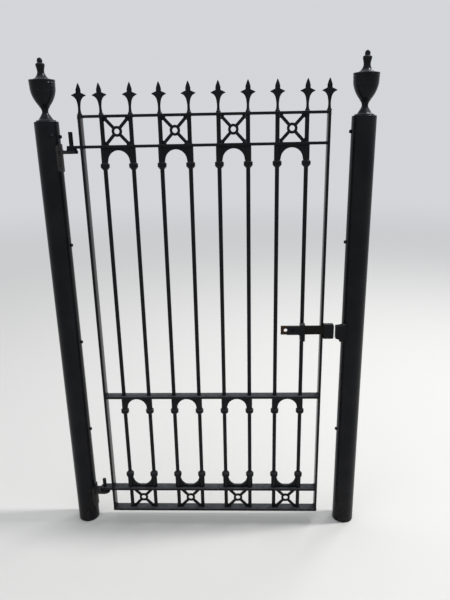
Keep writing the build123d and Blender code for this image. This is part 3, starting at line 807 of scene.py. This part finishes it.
def fixing_profile(depth):
    """A domed head over a shank of the given depth, as radius and height above the post's face."""
    rise = 1 - HEAD_RIM
    return [
        (0.0, -depth),
        (SHANK_RADIUS, -depth),
        (SHANK_RADIUS, -HEAD_SUNK),
        (HEAD_RADIUS - HEAD_CHAMFER, -HEAD_SUNK),
        (HEAD_RADIUS, HEAD_CHAMFER_TOP),
        *((HEAD_RADIUS * cos(a), HEAD_HEIGHT * (HEAD_RIM + rise * sin(a))) for a in HEAD_ANGLES),
        (0.0, HEAD_HEIGHT),
    ]


def make_fixings():
    """Each head is on the side of the post that faces the leaf, with its shank in the far wall."""
    for post, x, way in (("hinge_post", 0.0, 1), ("latch_post", latch_post_x, -1)):
        turn = Matrix.Rotation(way * pi / 2, 4, "Y")
        build = bmesh.new()
        for z in FIXING_HEIGHTS:
            place = Matrix.Translation((x + way * POST_RADIUS, 0, z))
            add_turned(build, fixing_profile(FIXING_DEPTH), place @ turn, FIXING_SIDES)
        finish_metalwork(build, f"{post}_fixings", "posts")


def make_lock_screw():
    """On the front of the hinge post, into the urn's spigot."""
    turn = Matrix.Rotation(LOCK_SCREW_TURN, 4, "Z") @ Matrix.Rotation(pi / 2, 4, "Y")
    place = turn @ Vector((0, 0, POST_RADIUS)) + Vector((0, 0, LOCK_SCREW_HEIGHT))
    build = bmesh.new()
    add_turned(build, fixing_profile(LOCK_SCREW_DEPTH), Matrix.Translation(place) @ turn, FIXING_SIDES)
    finish_metalwork(build, "urn_lock_screw", "posts")


# Posts and bars stay as packed, with a material

def dress_packed():
    for node in ("hinge_post", "latch_post", *(f"bar_{i}" for i in range(1, BAR_COUNT + 1))):
        materials = nodes[node].data.materials
        materials.clear()
        materials.append(upright_paint)


# Camera, floor and light

def make_camera():
    """The photograph's camera: yaw about Z, then pitch about X, then roll about its own view axis."""
    turn = Matrix.Rotation(CAMERA_YAW, 3, "Z") @ Matrix.Rotation(CAMERA_PITCH, 3, "X")
    turn = turn @ Matrix.Rotation(CAMERA_ROLL, 3, "Y")
    right, ahead, up = turn.col
    data = bpy.data.cameras.new("photo_camera")
    data.sensor_fit = "AUTO"
    data.sensor_width = SENSOR
    data.lens = FOCAL_PIXELS / PHOTO_HEIGHT * SENSOR
    data.clip_end = CAMERA_REACH
    camera = bpy.data.objects.new("photo_camera", data)
    rotation = Matrix((right, up, -ahead)).transposed().to_4x4()
    camera.matrix_world = Matrix.Translation(CAMERA_PLACE) @ rotation
    collection.objects.link(camera)
    bpy.context.scene.camera = camera


def make_floor():
    """A wide pale floor that turns to the colour of the sky far out, so that no horizon shows."""
    mesh = bpy.data.meshes.new("floor")
    build = bmesh.new()
    bmesh.ops.create_circle(build, cap_ends=True, segments=FLOOR_SIDES, radius=FLOOR_RADIUS)
    build.to_mesh(mesh)
    build.free()
    floor = bpy.data.objects.new("floor", mesh)
    floor.location = FLOOR_CENTRE
    t = Tree("pale_floor")
    distance = t.add("ShaderNodeVectorMath", operation="LENGTH")
    t.link(t.place, distance.inputs[0])
    far = t.add("ShaderNodeEmission")
    far.inputs["Color"].default_value = SKY
    far.inputs["Strength"].default_value = SKY_STRENGTH
    blend = t.add("ShaderNodeMixShader")
    t.link(t.spread(distance.outputs["Value"], FADE_STARTS, FADE_ENDS), blend.inputs["Fac"])
    t.link(t.shader.outputs["BSDF"], blend.inputs[1])
    t.link(far.outputs["Emission"], blend.inputs[2])
    t.link(blend.outputs["Shader"], t.tree.nodes["Material Output"].inputs["Surface"])
    t.shader.inputs["Base Color"].default_value = FLOOR
    t.shader.inputs["Roughness"].default_value = FLOOR_ROUGHNESS
    mesh.materials.append(t.material)
    collection.objects.link(floor)


def make_light():
    world = bpy.data.worlds.new("studio")
    bpy.context.scene.world = world
    world.use_nodes = True
    background = world.node_tree.nodes["Background"]
    background.inputs["Color"].default_value = SKY
    background.inputs["Strength"].default_value = SKY_STRENGTH
    for name, place, target, diameter, power in LAMPS:
        data = bpy.data.lights.new(name, "AREA")
        data.shape = "DISK"
        data.size = diameter
        data.energy = power
        lamp = bpy.data.objects.new(name, data)
        lamp.location = place
        lamp.rotation_euler = (Vector(target) - Vector(place)).to_track_quat("-Z", "Y").to_euler()
        collection.objects.link(lamp)


make_flats()
make_plates()
make_panels()
make_spearheads()
make_urns()
make_bar_welds()
make_frame_welds()
make_leaf_plate_welds()
make_post_plate_welds()
make_fixings()
make_lock_screw()
dress_packed()
make_camera()
make_floor()
make_light()

bpy.context.scene.view_settings.view_transform = "Standard"
